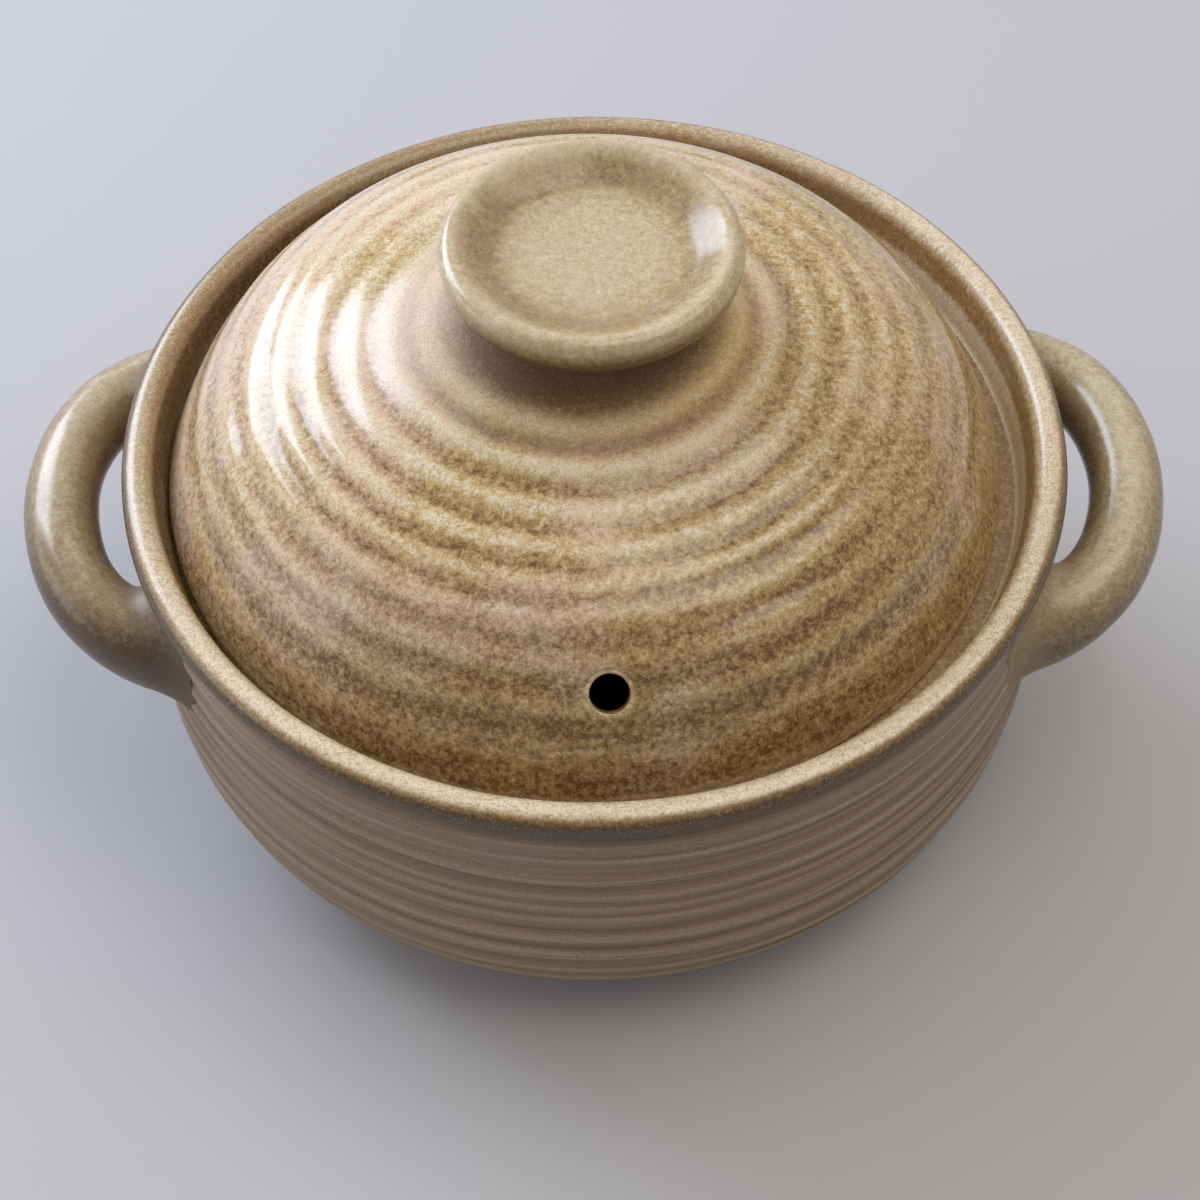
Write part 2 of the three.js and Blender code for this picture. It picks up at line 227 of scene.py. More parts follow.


# %% [markdown]
# Every finished piece is handed over in the same way: it moves with a body of the part, and it stands for one
# of the solids.


# %% Helper for finished pieces
def show(name, bm, body, node, slot, *materials):
    """Makes a finished piece that moves with a body and stands for one of the solids."""
    mesh = bpy.data.meshes.new(name)
    bm.to_mesh(mesh)
    bm.free()
    mesh.shade_smooth()
    for each in materials:
        mesh.materials.append(each)
    piece = bpy.data.objects.new(name, mesh)
    bpy.context.collection.objects.link(piece)
    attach(piece, body)
    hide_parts(node)
    print(name, "has", sum(len(p.vertices) - 2 for p in mesh.polygons), "triangles")


# %% [markdown]
# ## Throwing rings
# Fingers that rise along turning clay leave rings. They are never even: their spacing changes, and each one
# swells and fades on its way round. Here the list of ridges gives the spacing, and a slow noise changes the
# height and the place of each ring. The height is also kept on every vertex, in an attribute, because glaze
# runs thin and pale on a ridge and gathers dark in a groove. In places the same attribute also carries
# painted light and painted shade.


# %% Helpers for throwing rings
def ring_height(at, ridges):
    """1 on a ridge, -1 halfway to the next one, and 0 well past the two ends of the list."""
    if at <= ridges[0]:
        past = (ridges[0] - at) / (ridges[1] - ridges[0])
    elif at >= ridges[-1]:
        past = (at - ridges[-1]) / (ridges[-1] - ridges[-2])
    else:
        return math.cos(math.tau * float(np.interp(at, ridges, range(len(ridges)))))
    return (1 + math.cos(math.pi * min(1, 2 * past))) / 2


def sway(place, size, seed):
    """A smooth random number from about -1 to 1 that changes over size millimetres."""
    return noise.noise(Vector(place) / (size * MM) + Vector((seed, 3.7 * seed, -1.9 * seed)))


def ramp(value, start, end):
    """0 at start, 1 at end, and a straight rise in between."""
    return min(1, max(0, (value - start) / (end - start)))


# %% [markdown]
# Fingers and brush also draw the glaze out along the turn, so its patches are longer than they are wide.
# Each vertex keeps a place for the noise in a second attribute, called drawn. On a turned piece it runs
# slowly round the axis and fast from the middle to the edge. The circle stays a circle in that place, so
# the pattern closes without a seam.

# %% Places for the drawn-out glaze
STRETCH = 2.6
DRAWN_RADIUS = 0.08


def draw_round(bm):
    """Keeps a place for noise on every vertex of a turned piece, squeezed along the turn."""
    drawn = bm.verts.layers.float_vector.new("drawn")
    for v in bm.verts:
        radius = v.co.xy.length
        round_axis = v.co.xy / max(radius, SAME_SPOT) * DRAWN_RADIUS / STRETCH
        v[drawn] = (round_axis.x, round_axis.y, radius - v.co.z)


# %% [markdown]
# ## Glaze
# The pot wears a satin stoneware glaze: a glassy coat, coloured by iron, fired over a speckled clay. It is
# cream where it lies thin, olive tan on the flats and brown where it pools. Painted maps could show that,
# but noise in Object coordinates needs no unwrapping and has no seams. One recipe serves the lid, the
# knob, the rim and the handles, in three steps: how thick the coat lies, which colour that gives, and how
# the surface shines.
#
# The thickness follows that attribute, which in places also holds painted light and shade, with patches that
# stray from it: felted ones, and weaker ones that are drawn out along the turn. Both fade on the side towards
# the window and the bright back of the room, which gets a painted sheen, and where a third attribute, called
# matt, marks glaze that was wiped or fired dry.

# %% Thickness of the glaze
CLOUD_MM = 34
DRIFT_MM = 3.6
DRIFT_PART = 0.6
FELT_MM = 1.8
FELT_PART = 2.2
PATCH_LOW, PATCH_HIGH = 1.1, 1.7
# Painted sheen: the side towards the window and the bright back of the room.
SHEEN_SIDE = (-1, 1, 0)


def glaze_coat_and_light(tree, mottle):
    """The coat and its painted light: above 0 where the glaze is thin and where light is painted, below 0
    where it pools and where shade is painted, and what the next steps use again.
    """
    place = add(tree, "TexCoord").outputs["Object"]
    drawn = add(tree, "Attribute", attribute_name="drawn").outputs["Vector"]
    drift = add(tree, "TexNoise", {"Vector": drawn, "Scale": 1 / (DRIFT_MM * MM), "Detail": 4,
                                   "Roughness": 0.62})
    felt = add(tree, "TexNoise", {"Vector": place, "Scale": 1 / (FELT_MM * MM), "Detail": 4,
                                  "Roughness": 0.8}).outputs["Fac"]
    patch = add(tree, "Math", {0: drift.outputs["Fac"], 1: DRIFT_PART}, operation="MULTIPLY")
    patch = add(tree, "Math", {0: felt, 1: FELT_PART, 2: patch.outputs[0]},
                operation="MULTIPLY_ADD").outputs[0]
    stray = add(tree, "MapRange", {"Value": patch, "From Min": PATCH_LOW, "From Max": PATCH_HIGH,
                                   "To Min": -1, "To Max": 1}, clamp=False).outputs["Result"]

    # The side towards the window and the bright back of the room gets a painted sheen, with a border that
    # wanders.
    cloud = add(tree, "TexNoise", {"Vector": place, "Scale": 1 / (CLOUD_MM * MM), "Detail": 2})
    flame = add(tree, "VectorMath", {0: place, 1: SHEEN_SIDE}, operation="DOT_PRODUCT").outputs["Value"]
    toward_sheen = add(tree, "Math", {0: flame, 1: cloud.outputs["Fac"]}, operation="ADD").outputs[0]
    warmth = add(tree, "MapRange", {"Value": toward_sheen, "From Min": 0.42, "From Max": 0.62}).outputs["Result"]

    # Fewer strays under the painted sheen and in matt glaze.
    patchy = add(tree, "MapRange", {"Value": warmth, "To Min": mottle, "To Max": 0.6 * mottle})
    matt = add(tree, "Attribute", attribute_name="matt").outputs["Fac"]
    even = add(tree, "MapRange", {"Value": matt, "From Max": 0.55, "To Min": 1, "To Max": 0.35})
    patchy = add(tree, "Math", {0: patchy.outputs["Result"], 1: even.outputs["Result"]},
                 operation="MULTIPLY").outputs[0]
    crest_and_light = add(tree, "Attribute", attribute_name="crest_and_light").outputs["Fac"]
    coat_and_light = add(tree, "Math", {0: stray, 1: patchy, 2: crest_and_light}, operation="MULTIPLY_ADD").outputs[0]
    return coat_and_light, warmth, patch, felt


# %% [markdown]
# The colour is laid on in layers, as far as each one's share says. The side towards the window and the bright
# back of the room is painted with a pale pink sheen and patches of whitish sheen, as painted reflection. Iron
# from the clay bleeds through last, as fine dark grain with pale glaze between. The real specks are finer
# than a pixel of the render, so the grain is drawn coarser, at 0.6 mm.

# %% Colour of the glaze
# Painted sheen in whitish patches on that same side.
SHEEN_PATCH_MM = 7
SHEEN_PATCH_TONE = "#ece2d2"
GRAIN_MM = 0.6


def glaze_colour(tree, coat_and_light, warmth, thin, flat, pooled, blush, speckle, freckles):
    """Layers of colour from the flat glaze upwards."""
    # Pale where the glaze is thin and where light is painted, dark where it pools and where shade is painted.
    thinness = add(tree, "MapRange", {"Value": coat_and_light, "From Max": 1.3}).outputs["Result"]
    pool_and_shade = add(tree, "MapRange", {"Value": coat_and_light, "From Max": -1.5}).outputs["Result"]
    drawn = add(tree, "Attribute", attribute_name="drawn").outputs["Vector"]
    sheen_patches = add(tree, "TexNoise", {"Vector": drawn, "Scale": 1 / (SHEEN_PATCH_MM * MM), "Detail": 3})
    sheen_patches = add(tree, "MapRange", {"Value": sheen_patches.outputs["Fac"], "From Min": 0.58, "From Max": 0.72,
                                   "To Max": 0.5})
    sheen_patches = add(tree, "Math", {0: sheen_patches.outputs["Result"], 1: warmth}, operation="MULTIPLY").outputs[0]
    place = add(tree, "TexCoord").outputs["Object"]
    grain = add(tree, "TexNoise", {"Vector": place, "Scale": 1 / (GRAIN_MM * MM), "Detail": 2}).outputs["Fac"]
    dark = add(tree, "MapRange", {"Value": grain, "From Min": 0.46, "From Max": 0.7,
                                  "To Max": freckles}).outputs["Result"]
    pale = add(tree, "MapRange", {"Value": grain, "From Min": 0.5, "From Max": 0.28,
                                  "To Max": 0.4 * freckles}).outputs["Result"]
    colour = linear(flat)
    for share, tone in ((warmth, blush), (thinness, thin), (sheen_patches, SHEEN_PATCH_TONE), (pool_and_shade, pooled),
                        (dark, speckle), (pale, thin)):
        colour = add(tree, "Mix", {SHARE: share, UNDER: colour, OVER: linear(tone)},
                     data_type="RGBA").outputs[MIXED]
    return colour


# %% [markdown]
# A stoneware glaze is a kind of glass, with an IOR of about 1.5 to 1.6. It is glossy where it melted well,
# a little duller in the patches, and dull where the matt attribute says so. The felted noise also lifts
# the surface by a trace, which breaks up the reflections.

# %% Glaze recipe
GLAZE_IOR = 1.56
GLAZE_SPECULAR = 0.58
BUMP_DEPTH = 0.0003


def speckled_glaze(name, mottle, shine, **tones):
    """A satin glaze that runs from thin to pooled, and from painted light to painted shade, with the
    attribute kept on its vertices.
    """
    material, tree, output = new_material(name)
    coat_and_light, warmth, patch, felt = glaze_coat_and_light(tree, mottle)
    colour = glaze_colour(tree, coat_and_light, warmth, **tones)
    gloss = add(tree, "MapRange", {"Value": patch, "From Min": PATCH_LOW, "From Max": PATCH_HIGH,
                                   "To Min": shine - 0.03, "To Max": shine + 0.06})
    matt = add(tree, "Attribute", attribute_name="matt").outputs["Fac"]
    rough = add(tree, "Math", {0: gloss.outputs["Result"], 1: matt}, operation="ADD", use_clamp=True)
    bump = add(tree, "Bump", {"Height": felt, "Strength": 0.09, "Distance": BUMP_DEPTH})
    glass = add(tree, "BsdfPrincipled", {"Base Color": colour, "Roughness": rough.outputs[0],
                                         "IOR": GLAZE_IOR, "Specular IOR Level": GLAZE_SPECULAR,
                                         "Normal": bump.outputs["Normal"]})
    tree.links.new(glass.outputs[0], output.inputs["Surface"])
    print("made", name)
    return material


# %% [markdown]
# Each piece gets its own mixture. The lid's is the richest and the glossiest, with strong patches and a pink
# painted sheen. The knob is smoother, with less speckle. The rim is cream on top and dark brown below, partly
# pooled glaze and partly painted shade, and the handles are olive, with little mottle.

# %% Glazes of the lid, knob, rim and handles
lid_glaze = speckled_glaze("tan_stoneware_glaze", thin="#ebddbd", flat="#c8aa70", pooled="#714c20",
                           blush="#e2c3a6", speckle="#875f33", freckles=0.38, mottle=0.85, shine=0.15)
knob_glaze = speckled_glaze("smooth_stoneware_glaze", thin="#dccdb0", flat="#b89f72", pooled="#664a2a",
                            blush="#b89d74", speckle="#8a6b44", freckles=0.28, mottle=0.5, shine=0.18)
rim_glaze = speckled_glaze("cream_stoneware_glaze", thin="#efdec0", flat="#a88654", pooled="#523a1e",
                           blush="#a58a62", speckle="#755838", freckles=0.5, mottle=0.4, shine=0.24)
handle_glaze = speckled_glaze("olive_stoneware_glaze", thin="#d6c7a6", flat="#a18b66", pooled="#5a442d",
                              blush="#a08866", speckle="#6e583c", freckles=0.25, mottle=0.45, shine=0.2)

# %% [markdown]
# The outside of the wall took a thinner, greyer coat, and the fingers that drew it up left fine lines.
# The same recipe would scatter its speckle evenly, so the wall gets its own. Noise that is squeezed in
# height and stretched round the pot gives long streaks, and noise of the height alone gives lines.

# %% Thickness of the wall glaze
STREAK_LONG_MM, STREAK_HIGH_MM = 95, 1.6
LINE_MM = 3.4


def squeezed(long_mm, high_mm):
    """The scale of a noise that is long round the pot and low in height."""
    return 1 / (long_mm * MM), 1 / (long_mm * MM), 1 / (high_mm * MM)


wall_glaze, tree, output = new_material("taupe_stoneware_glaze")
place = add(tree, "TexCoord").outputs["Object"]
height = add(tree, "SeparateXYZ", {0: place}).outputs["Z"]
streak = add(tree, "Mapping", {"Vector": place, "Scale": squeezed(STREAK_LONG_MM, STREAK_HIGH_MM)})
streak = add(tree, "TexNoise", {"Vector": streak.outputs[0], "Scale": 1, "Detail": 3,
                                "Roughness": 0.6}).outputs["Fac"]
lines = add(tree, "TexNoise", {"W": height, "Scale": 1 / (LINE_MM * MM), "Detail": 4, "Roughness": 0.7},
            noise_dimensions="1D").outputs["Fac"]
drawn = add(tree, "Math", {0: streak, 1: lines}, operation="ADD").outputs[0]
drawn = add(tree, "MapRange", {"Value": drawn, "From Min": 0.7, "From Max": 1.3,
                               "To Min": -0.7, "To Max": 0.7}, clamp=False).outputs["Result"]
crest_and_light = add(tree, "Attribute", attribute_name="crest_and_light").outputs["Fac"]
coat_and_light = add(tree, "Math", {0: drawn, 1: crest_and_light}, operation="ADD").outputs[0]
print("wall streaks are", STREAK_LONG_MM, "mm long and", STREAK_HIGH_MM, "mm high")

# %% [markdown]
# The layers of colour are a warmer tone low down and in clouds, pale where the coat is thin, brown where it
# pools and, under the neck, where shade is painted, then thin dark threads, and the iron grain last. A thread
# is a scratch of the finger's edge: the peaks of a second squeezed noise.

# %% Colour of the wall glaze
THREAD_LONG_MM, THREAD_HIGH_MM = 120, 1.2
WARM_FROM_MM, WARM_TO_MM = 85, 30

lower = add(tree, "MapRange", {"Value": height, "From Min": WARM_FROM_MM * MM, "From Max": WARM_TO_MM * MM})
cloud = add(tree, "TexNoise", {"Vector": place, "Scale": 1 / (CLOUD_MM * MM), "Detail": 2})
warmth = add(tree, "MapRange", {"Value": cloud.outputs["Fac"], "From Min": 0.45, "From Max": 0.7,
                                "To Max": 0.7})
thinness = add(tree, "MapRange", {"Value": coat_and_light, "From Max": 1.6})
pool_and_shade = add(tree, "MapRange", {"Value": coat_and_light, "From Max": -1.6})
thread = add(tree, "Mapping", {"Vector": place, "Scale": squeezed(THREAD_LONG_MM, THREAD_HIGH_MM)})
thread = add(tree, "TexNoise", {"Vector": thread.outputs[0], "Scale": 1, "Detail": 1})
scored = add(tree, "MapRange", {"Value": thread.outputs["Fac"], "From Min": 0.62, "From Max": 0.72,
                                "To Max": 0.6})
grain = add(tree, "TexNoise", {"Vector": place, "Scale": 1 / (GRAIN_MM * MM), "Detail": 3})
dark = add(tree, "MapRange", {"Value": grain.outputs["Fac"], "From Min": 0.48, "From Max": 0.72,
                              "To Max": 0.42})
layers = ((lower, "#9c825e"), (warmth, "#9c8360"), (thinness, "#c4b094"), (pool_and_shade, "#54402f"),
          (scored, "#4d3f31"), (dark, "#4d3f31"))
colour = linear("#a0876d")
for share, tone in layers:
    colour = add(tree, "Mix", {SHARE: share.outputs["Result"], UNDER: colour, OVER: linear(tone)},
                 data_type="RGBA").outputs[MIXED]
print("wall glaze has", len(layers), "layers of colour over its ground")

# %% Surface of the wall glaze
rough = add(tree, "MapRange", {"Value": streak, "From Min": 0.3, "From Max": 0.7,
                               "To Min": 0.3, "To Max": 0.42}).outputs["Result"]
bump = add(tree, "Bump", {"Height": drawn, "Strength": 0.25, "Distance": BUMP_DEPTH}).outputs["Normal"]
glass = add(tree, "BsdfPrincipled", {"Base Color": colour, "Roughness": rough,
                                     "Specular IOR Level": 0.3, "Normal": bump})
tree.links.new(glass.outputs[0], output.inputs["Surface"])
print("made", wall_glaze.name)

# %% [markdown]
# Where the pot stands, and where the lid sits in its seat, the glaze is wiped off before the firing so
# that nothing sticks. The bare stoneware there is matt, toasted and sandy.

# %% Bare clay
SAND_MM = 0.9
TOAST_MM = 25

bare_clay, tree, output = new_material("bare_stoneware")
place = add(tree, "TexCoord").outputs["Object"]
sand = add(tree, "TexNoise", {"Vector": place, "Scale": 1 / (SAND_MM * MM), "Detail": 4}).outputs["Fac"]
toast = add(tree, "TexNoise", {"Vector": place, "Scale": 1 / (TOAST_MM * MM), "Detail": 2}).outputs["Fac"]
fleck = add(tree, "MapRange", {"Value": sand, "From Min": 0.55, "From Max": 0.7}).outputs["Result"]
colour = linear("#b48a62")
for share, tone in ((toast, "#94694a"), (fleck, "#6b4a34")):
    colour = add(tree, "Mix", {SHARE: share, UNDER: colour, OVER: linear(tone)},
                 data_type="RGBA").outputs[MIXED]
rough = add(tree, "MapRange", {"Value": sand, "To Min": 0.78, "To Max": 0.95}).outputs["Result"]
bump = add(tree, "Bump", {"Height": sand, "Strength": 0.5, "Distance": BUMP_DEPTH}).outputs["Normal"]
clay = add(tree, "BsdfPrincipled", {"Base Color": colour, "Roughness": rough, "Normal": bump})
tree.links.new(clay.outputs[0], output.inputs["Surface"])
print("made", bare_clay.name)

# %% [markdown]
# ## Pot
# The pot is one turned wall: a foot ring, a full belly, a neck, a rolled rim, and inside the rim a
# gallery, the ledge that carries the lid. The outline runs from the middle of the base, up the outside,
# over the rim and down the inside to the middle of the cooking floor. The roll of the rim is a little
# finer than the solid's, with the same top.

# %% Pot outline
RIM_MIDDLE = (118.3, 103.8)
RIM_ROLL = 4.2
NECK_ANGLE = -73
BELLY = (121.5, 50)
INNER_BELLY = (113.5, 50)
SEAT = 91.5
FLOOR_TOP = 12

neck = arc(RIM_MIDDLE, RIM_ROLL, NECK_ANGLE, NECK_ANGLE + 1)[0]
foot = [(0, 3), (30, 3), (60, 3)] + arc((65, 1), 2, 90, 30) + arc((68, 1.2), 1.2, 210, 270)
foot += arc((74.5, 1.5), 1.5, 270, 360) + [(76, 3.4)]
lower_wall = bend((76, 5), (107.9, 5), (121.5, 18.5), BELLY)
upper_wall = bend(BELLY, (121.5, 66.2), (neck[0], neck[1] - 16.2), neck)
wall = lower_wall + upper_wall[1:]
rim = arc(RIM_MIDDLE, RIM_ROLL, NECK_ANGLE, 180)
gallery = [(113.1, 100), (112.6, 97), (112.2, 94.6)] + arc((110.2, 93.3), 1.8, 0, -90)
gallery += [(109, SEAT), (107.4, SEAT)] + arc((105.6, SEAT - 1.6), 1.6, 90, 180) + [(104, 87)]
inside = bend((104, 84.5), (104, 77.5), (113.5, 64), INNER_BELLY, 2.4)
inside += bend(INNER_BELLY, (113.5, 23.4), (98, FLOOR_TOP), (62, FLOOR_TOP), 2.4)[1:]
inside += [(40, FLOOR_TOP), (20, FLOOR_TOP), (0, FLOOR_TOP)]
outline = foot + wall + rim[1:] + gallery + inside
pot = turned(outline)
print("pot outline has", len(outline), "points")

# %% Rings of the wall
WALL_RIDGES = [12, 20, 28, 36, 44.5, 53.3, 62.4, 67.1, 71.5, 79.5, 88]
WALL_RING_DEPTH = 0.34


def wall_lift(place):
    """How far the throwing rings lift the wall at a place in metres, as a share of the ring depth."""
    at = place.z / MM + 0.8 * sway(place, 40, 5)
    return ring_height(at, WALL_RIDGES) * (0.75 + 0.6 * sway(place, 55, 7))


print("the wall has", len(WALL_RIDGES), "rings")

# %% [markdown]
# Glaze runs off the top of the rim and gathers below it, so on the rim the attribute follows the angle round
# the roll: dark on the outer side and darkest under it, partly pooled glaze and partly painted shade, and
# pale from 60 degrees up and over the top. At the back on the left the rim is painted darker, as painted
# shade. On the wall the attribute follows the rings, and under the neck it is darker, partly pooled glaze and
# partly painted shade. In the gallery it is painted paler towards the right, as painted light.

# %% Glaze on the pot
RIM_FOOT = RIM_MIDDLE[1] - RIM_ROLL + 0.2
RIM_TURNS = [-75, 10, 34, 50, 61, 73, 112, 180]
RIM_CRESTS_AND_SHADE = [-2.4, -2.1, -1.4, -0.5, 0.6, 1.2, 1.2, -0.2]
RIM_SWAY = 0.25
POOL_AND_SHADE_FROM, POOL_AND_SHADE_HIGH = 92.6, 5

draw_round(pot)
crest_and_light = pot.verts.layers.float.new("crest_and_light")
matt = pot.verts.layers.float.new("matt")
for v in pot.verts:
    radius, height = math.hypot(v.co.x, v.co.y) / MM, v.co.z / MM
    east, north = v.co.x / max(radius * MM, SAME_SPOT), v.co.y / max(radius * MM, SAME_SPOT)
    outward = v.normal.x * v.co.x + v.normal.y * v.co.y > 0
    if height > RIM_FOOT and radius > 113:
        turn = math.degrees(math.atan2(height - RIM_MIDDLE[1], radius - RIM_MIDDLE[0]))
        turn = (turn + 90) % 360 - 90
        # The outer side and underside of the roll: pooled glaze and painted shade.
        v[crest_and_light] = float(np.interp(turn, RIM_TURNS, RIM_CRESTS_AND_SHADE))
        # Painted shade: darker at the back on the left.
        v[crest_and_light] -= 1.2 * max(0, 0.8 * north - 0.6 * east)
        v[matt] = 0.35 * ramp(turn, 20, -20)
        v.co += v.normal * RIM_SWAY * MM * sway(v.co, 45, 2)
    elif outward and radius > 76.5 and height > 5:
        lift = wall_lift(v.co)
        # Under the neck: pooled glaze and painted shade.
        v[crest_and_light] = 0.55 * lift - 0.9 * max(0, (height - POOL_AND_SHADE_FROM) / POOL_AND_SHADE_HIGH)
        v.co += v.normal * WALL_RING_DEPTH * MM * lift
    elif radius > 111 and height > SEAT:
        # Painted light: the gallery is paler towards the right.
        v[crest_and_light] = 0.9 + east
crests = [v[crest_and_light] for v in pot.verts]
print("crest on the pot runs from", round(min(crests), 2), "to", round(max(crests), 2))

# %% Finishes of the pot
WIPED_HEIGHT = 2.2 * MM
WALL_FINISH, RIM_FINISH, FOOT_FINISH = 0, 1, 2

for face in pot.faces:
    middle = face.calc_center_median()
    outside = middle.x * face.normal.x + middle.y * face.normal.y > 0
    if middle.z < WIPED_HEIGHT:
        face.material_index = FOOT_FINISH
    elif outside and WIPED_HEIGHT < middle.z < neck[1] * MM:
        face.material_index = WALL_FINISH
    else:
        face.material_index = RIM_FINISH
show("pot_body_thrown", pot, "pot", "pot_body", "wall_glaze", wall_glaze, rim_glaze, bare_clay)

# %% [markdown]
# ## Handles
# Each handle is a roll of clay, bent into a bow and pressed on to the wall with both ends. A curve with a
# bevel could make the roll, but its ends would not follow the ringed wall. So circles are set along the
# bow and bridged into a tube, and every line of the tube stops where it meets the wall.

# %% Bow of the handles
BOW = [Vector(p) for p in ((99, -43, 76), (155.3, -59, 90.7), (155.3, 59, 90.7), (99, 43, 76))]
HANDLE_HALF = 9.75
ROOT_HALF_WIDTH = 12.5
ROOT_HALF_HEIGHT = 14
FLARE_PLACES = [0.35, 0.6, 0.8, 1]
FLARES = [0, 0.25, 0.75, 1]
wall_heights = [height for radius, height in wall]
wall_radii = [radius for radius, height in wall]


def off_wall(place):
    """Distance of a place in millimetres from the pot's ringed wall, negative inside it."""
    radius = float(np.interp(place.z, wall_heights, wall_radii))
    spot = Vector((place.x, place.y, 0)).normalized() * radius + Vector((0, 0, place.z))
    return place.xy.length - radius - WALL_RING_DEPTH * wall_lift(spot * MM)


def on_skin(share, turn):
    """A place on the roll: share runs along the bow from 0 to 1, turn runs round the roll."""
    a, b, c, d = BOW
    rest = 1 - share
    middle = rest ** 3 * a + 3 * rest ** 2 * share * b + 3 * rest * share ** 2 * c + share ** 3 * d
    along = rest ** 2 * (b - a) + 2 * rest * share * (c - b) + share ** 2 * (d - c)
    side = Vector((0, 0, 1)).cross(along).normalized()
    rise = along.cross(side).normalized()
    flare = float(np.interp(abs(2 * share - 1), FLARE_PLACES, FLARES))
    half_width = HANDLE_HALF + (ROOT_HALF_WIDTH - HANDLE_HALF) * flare
    half_height = HANDLE_HALF + (ROOT_HALF_HEIGHT - HANDLE_HALF) * flare
    outward = math.cos(turn) * half_width * side + math.sin(turn) * half_height * rise
    return middle + outward, outward.normalized()


def share_at_wall(turn, inside, outside):
    """Where a line along the roll meets the wall, by halving the stretch between two shares."""
    for _ in range(30):
        middle = (inside + outside) / 2
        if off_wall(on_skin(middle, turn)[0]) < 0:
            inside = middle
        else:
            outside = middle
    return outside


print("middle of the bow is", round(off_wall(on_skin(0.5, 0)[0]), 1), "mm from the wall")

# %% [markdown]
# Where the tube nears the wall, its skin is pushed outwards, as a thumb spreads the clay, so that the root
# runs into the wall in a hollow curve. The curve ends at a small angle, and its last circle is set a little
# into the wall, so that no gap shows. The root takes the wall's tone and is duller than the bow, and the bow
# is painted pale on top and dark below, as painted light and painted shade.

# %% Skin of a handle
HANDLE_SIDES = 48
HANDLE_RINGS = 120
FILLET = 8
FILLET_EDGE = 0.7
ROOT_DEPTH = 0.8
ROOT_TONE_REACH = 10
ROOT_MATT_REACH = 12
BOW_LENGTH = 0.13
DRAWN_ROLL = 0.01
HANDLE_SWAY = 0.35


def make_handle():
    """The right handle: circles along the bow, bridged, with every line stopped at the wall."""
    bm = bmesh.new()
    crest_and_light = bm.verts.layers.float.new("crest_and_light")
    matt = bm.verts.layers.float.new("matt")
    drawn = bm.verts.layers.float_vector.new("drawn")
    turns = [math.tau * j / HANDLE_SIDES for j in range(HANDLE_SIDES)]
    ends = [(share_at_wall(t, 0, 0.5), share_at_wall(t, 1, 0.5)) for t in turns]
    last = None
    for i in range(HANDLE_RINGS + 1):
        ring = bmesh.ops.create_circle(bm, segments=HANDLE_SIDES, radius=1)["verts"]
        edges = list({e for v in ring for e in v.link_edges})
        for v, turn, (first, final) in zip(ring, turns, ends):
            share = first + (final - first) * (1 - math.cos(math.pi * i / HANDLE_RINGS)) / 2
            v.co, outward = on_skin(share, turn)
            gap = max(off_wall(v.co), 0)
            short = FILLET - FILLET_EDGE - gap
            if short > 0:
                radial = Vector((v.co.x, v.co.y, 0)).normalized()
                along_wall = outward - outward.dot(radial) * radial
                v.co += along_wall * (FILLET - math.sqrt(FILLET ** 2 - short ** 2))
            if i in (0, HANDLE_RINGS):
                v.co.xy *= 1 - (off_wall(v.co) + ROOT_DEPTH) / v.co.xy.length
            v[drawn] = (DRAWN_ROLL * math.cos(turn), DRAWN_ROLL * math.sin(turn),
                        BOW_LENGTH * share / STRETCH)
            root = ramp(gap, ROOT_TONE_REACH, 0)
            # Painted light and shade: pale on top of the bow and dark below.
            v[crest_and_light] = (1 - root) * (1.7 * max(0, outward.z) ** 2 - 1) - 0.1 * root
            v[matt] = 0.35 * ramp(gap, ROOT_MATT_REACH, 0)
        if last:
            bmesh.ops.bridge_loops(bm, edges=last + edges)
        last = edges
    bmesh.ops.holes_fill(bm, edges=bm.edges, sides=0)
    bmesh.ops.recalc_face_normals(bm, faces=bm.faces)
    bm.normal_update()
    for v in bm.verts:
        v.co += v.normal * HANDLE_SWAY * sway(v.co, 22 / MM, 11)
    bmesh.ops.scale(bm, vec=(MM, MM, MM), verts=bm.verts)
    return bm


# %% [markdown]
# The two handles are alike, but they are not painted alike. The right one is painted paler along the top of
# the bow, as a painted highlight. The left one, which is also set on a little askew, is painted darker
# towards the front, as painted shade.

# %% Right handle
BOW_FROM, BOW_TO = 0.128, 0.14

right = make_handle()
crest_and_light = right.verts.layers.float["crest_and_light"]
for v in right.verts:
    # Painted highlight along the top of the bow.
    v[crest_and_light] += 0.45 * ramp(v.co.xy.length, BOW_FROM, BOW_TO) * max(0, v.normal.z)
show("right_handle_pulled", right, "pot", "right_handle", "tan_glaze", handle_glaze)

# %% Left handle
LEFT_TURN = math.pi + math.radians(2.2)
HALF_SPREAD = 0.055

left = make_handle()
bmesh.ops.rotate(left, verts=left.verts, cent=(0, 0, 0), matrix=Matrix.Rotation(LEFT_TURN, 3, "Z"))
crest_and_light = left.verts.layers.float["crest_and_light"]
for v in left.verts:
    # Painted shade: darker towards the front.
    v[crest_and_light] -= 1.1 * max(0, -v.co.y / HALF_SPREAD)
show("left_handle_pulled", left, "pot", "left_handle", "tan_glaze", handle_glaze)

# %% [markdown]
# ## Lid
# The lid is a bell: nearly upright at its edge, flattest at the shoulder, and rising again to the crown
# under the knob. It lies loose in the gallery, a little to the left. Its underside is the outer curve,
# moved inwards by the thickness of the clay.

# %% Lid outline
LID_SHIFT = -2.4
LID_THICKNESS = 6.5
EDGE = (108.8, 97.5)
EDGE_ROUND = 1.3
SHOULDER = (64, 139.9)
CROWN = (27, 157.2)
CEILING = CROWN[1] - LID_THICKNESS

